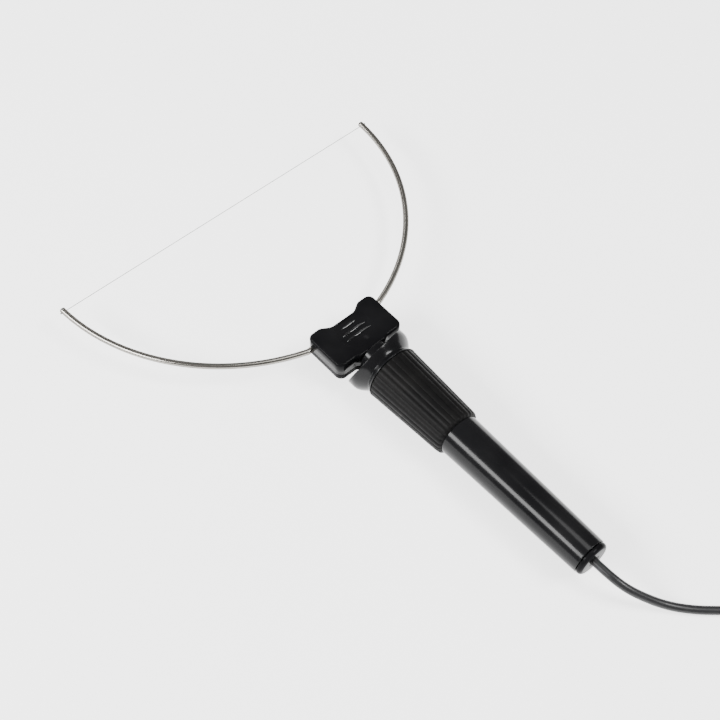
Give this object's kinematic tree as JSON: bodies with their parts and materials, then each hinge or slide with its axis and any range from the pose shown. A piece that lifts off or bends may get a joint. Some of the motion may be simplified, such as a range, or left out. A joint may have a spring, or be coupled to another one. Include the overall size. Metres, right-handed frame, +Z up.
{
  "type": "hot-wire foam cutter",
  "caption": "Hand-held hot-wire foam cutter: a half-round steel bow holds a straight heating wire on a plug-in head, in a round handle with a ribbed grip and a cord with a barrel plug.",
  "frame": {"origin": "centre of the tool's box in X and Y, on the surface that the grip's front ring rests on", "axes": "+Y along the handle towards the heating wire, +X to the right along the wire, +Z up, normal to the bow's plane"},
  "size_m": [0.2559, 0.3643, 0.0322],
  "materials": {
    "gloss_black": "gloss",
    "satin_black": "satin",
    "grip_rubber": "satin",
    "cord_sheath": "satin",
    "bow_steel": "polished",
    "heating_wire": "satin",
    "screw_steel": "satin",
    "contact_brass": "satin",
    "plug_nickel": "polished",
    "core_red": "satin",
    "core_black": "satin",
    "insulator": "satin"
  },
  "bodies": {
    "handle": {"handle_tube": "gloss_black", "grip_sleeve": "grip_rubber", "winged_collar": "gloss_black", "socket_block": "insulator", "socket_screws": "screw_steel", "socket_contact_left": "contact_brass", "socket_contact_right": "contact_brass", "shrink_sleeve_left": "satin_black", "shrink_sleeve_right": "satin_black", "lead_wire_left": "core_black", "lead_wire_right": "core_red", "clamp_top": "satin_black", "clamp_bottom": "satin_black", "clamp_screws": "screw_steel", "cord_inner": "cord_sheath", "end_cap": "gloss_black", "grommet": "grip_rubber", "cord_lead": "cord_sheath", "cord_coil": "cord_sheath", "cord_tie": "satin_black", "cord_tail": "cord_sheath", "plug_body": "satin_black", "plug_barrel": "plug_nickel", "plug_insulator": "satin_black", "plug_contact": "plug_nickel"},
    "head": {"head_top_shell": "gloss_black", "head_bottom_shell": "gloss_black", "head_screws": "screw_steel", "pin_carrier": "gloss_black", "contact_pin_left": "contact_brass", "contact_pin_right": "contact_brass", "bus_link_left": "contact_brass", "bus_link_right": "contact_brass", "terminal_left": "contact_brass", "terminal_right": "contact_brass", "terminal_screws": "screw_steel", "bow_arm_left": "bow_steel", "bow_arm_right": "bow_steel", "wire_rivets": "screw_steel", "cutting_wire": "heating_wire"}
  },
  "joints": [
    {"name": "head_pull", "type": "slide", "parent": "handle", "child": "head", "axis": [0, 1, 0], "range_m": [0, 0.02]}
  ]
}
